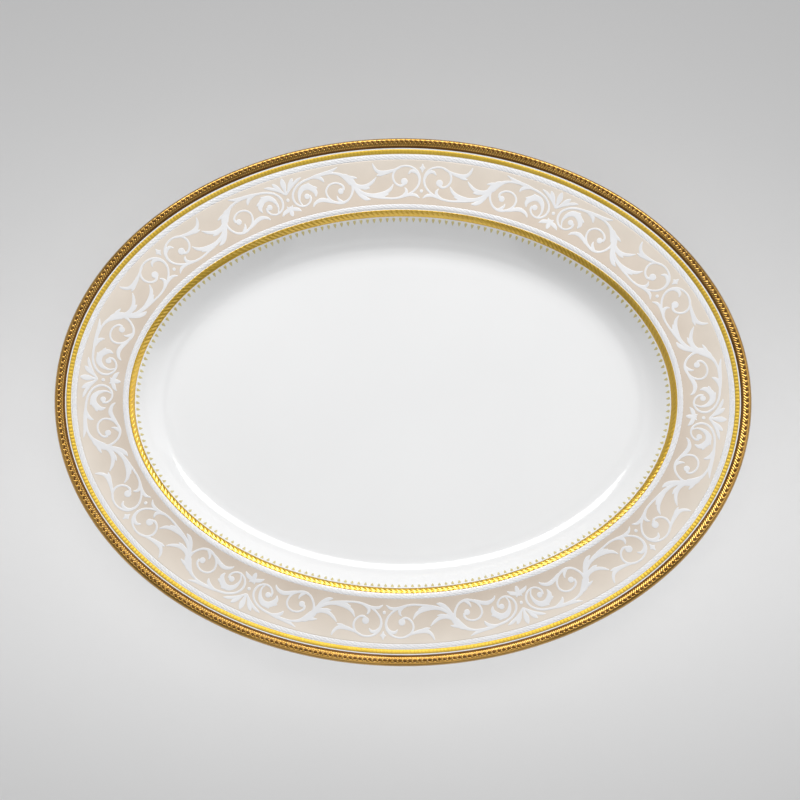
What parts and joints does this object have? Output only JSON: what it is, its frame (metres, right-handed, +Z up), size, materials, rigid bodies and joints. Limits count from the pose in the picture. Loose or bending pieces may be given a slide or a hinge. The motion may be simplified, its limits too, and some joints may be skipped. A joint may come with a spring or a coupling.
{
  "type": "serving platter",
  "caption": "Oval china serving platter with a broad ivory rim, raised white scroll relief, rope borders and gold bands, a shallow white well and a foot ring.",
  "frame": {"origin": "centre of the plane that the foot ring rests on", "axes": "+X along the long axis of the oval, +Y along the short axis, +Z up out of the decorated face"},
  "size_m": [0.36, 0.28, 0.027],
  "materials": {
    "porcelain": "clear glossy glaze over white china",
    "ivory_ground": "satin ivory ground colour fired on the glaze",
    "white_enamel": "satin raised white enamel paste",
    "bright_gold": "burnished fired gold",
    "edge_gold": "etched and burnished deep gold"
  },
  "bodies": {
    "root": {"porcelain_body": "porcelain", "edge_gold_band": "edge_gold", "gold_bead_line": "bright_gold", "outer_rope_border": "white_enamel", "ivory_ground_band": "ivory_ground", "inner_rope_border": "white_enamel", "inner_gold_band": "bright_gold", "gold_drop_fringe": "bright_gold", "scroll_forward_1": "white_enamel", "scroll_backward_1": "white_enamel", "palmette_1": "white_enamel", "palmette_pearl_1": "white_enamel", "fleuron_1": "white_enamel", "lozenge_1": "white_enamel", "small_pearl_1": "white_enamel", "scroll_forward_2": "white_enamel", "scroll_backward_2": "white_enamel", "palmette_2": "white_enamel", "palmette_pearl_2": "white_enamel", "fleuron_2": "white_enamel", "lozenge_2": "white_enamel", "small_pearl_2": "white_enamel", "scroll_forward_3": "white_enamel", "scroll_backward_3": "white_enamel", "palmette_3": "white_enamel", "palmette_pearl_3": "white_enamel", "fleuron_3": "white_enamel", "lozenge_3": "white_enamel", "small_pearl_3": "white_enamel", "scroll_forward_4": "white_enamel", "scroll_backward_4": "white_enamel", "palmette_4": "white_enamel", "palmette_pearl_4": "white_enamel", "fleuron_4": "white_enamel", "lozenge_4": "white_enamel", "small_pearl_4": "white_enamel", "scroll_forward_5": "white_enamel", "scroll_backward_5": "white_enamel", "palmette_5": "white_enamel", "palmette_pearl_5": "white_enamel", "fleuron_5": "white_enamel", "lozenge_5": "white_enamel", "small_pearl_5": "white_enamel", "scroll_forward_6": "white_enamel", "scroll_backward_6": "white_enamel", "palmette_6": "white_enamel", "palmette_pearl_6": "white_enamel", "fleuron_6": "white_enamel", "lozenge_6": "white_enamel", "small_pearl_6": "white_enamel"}
  },
  "joints": []
}
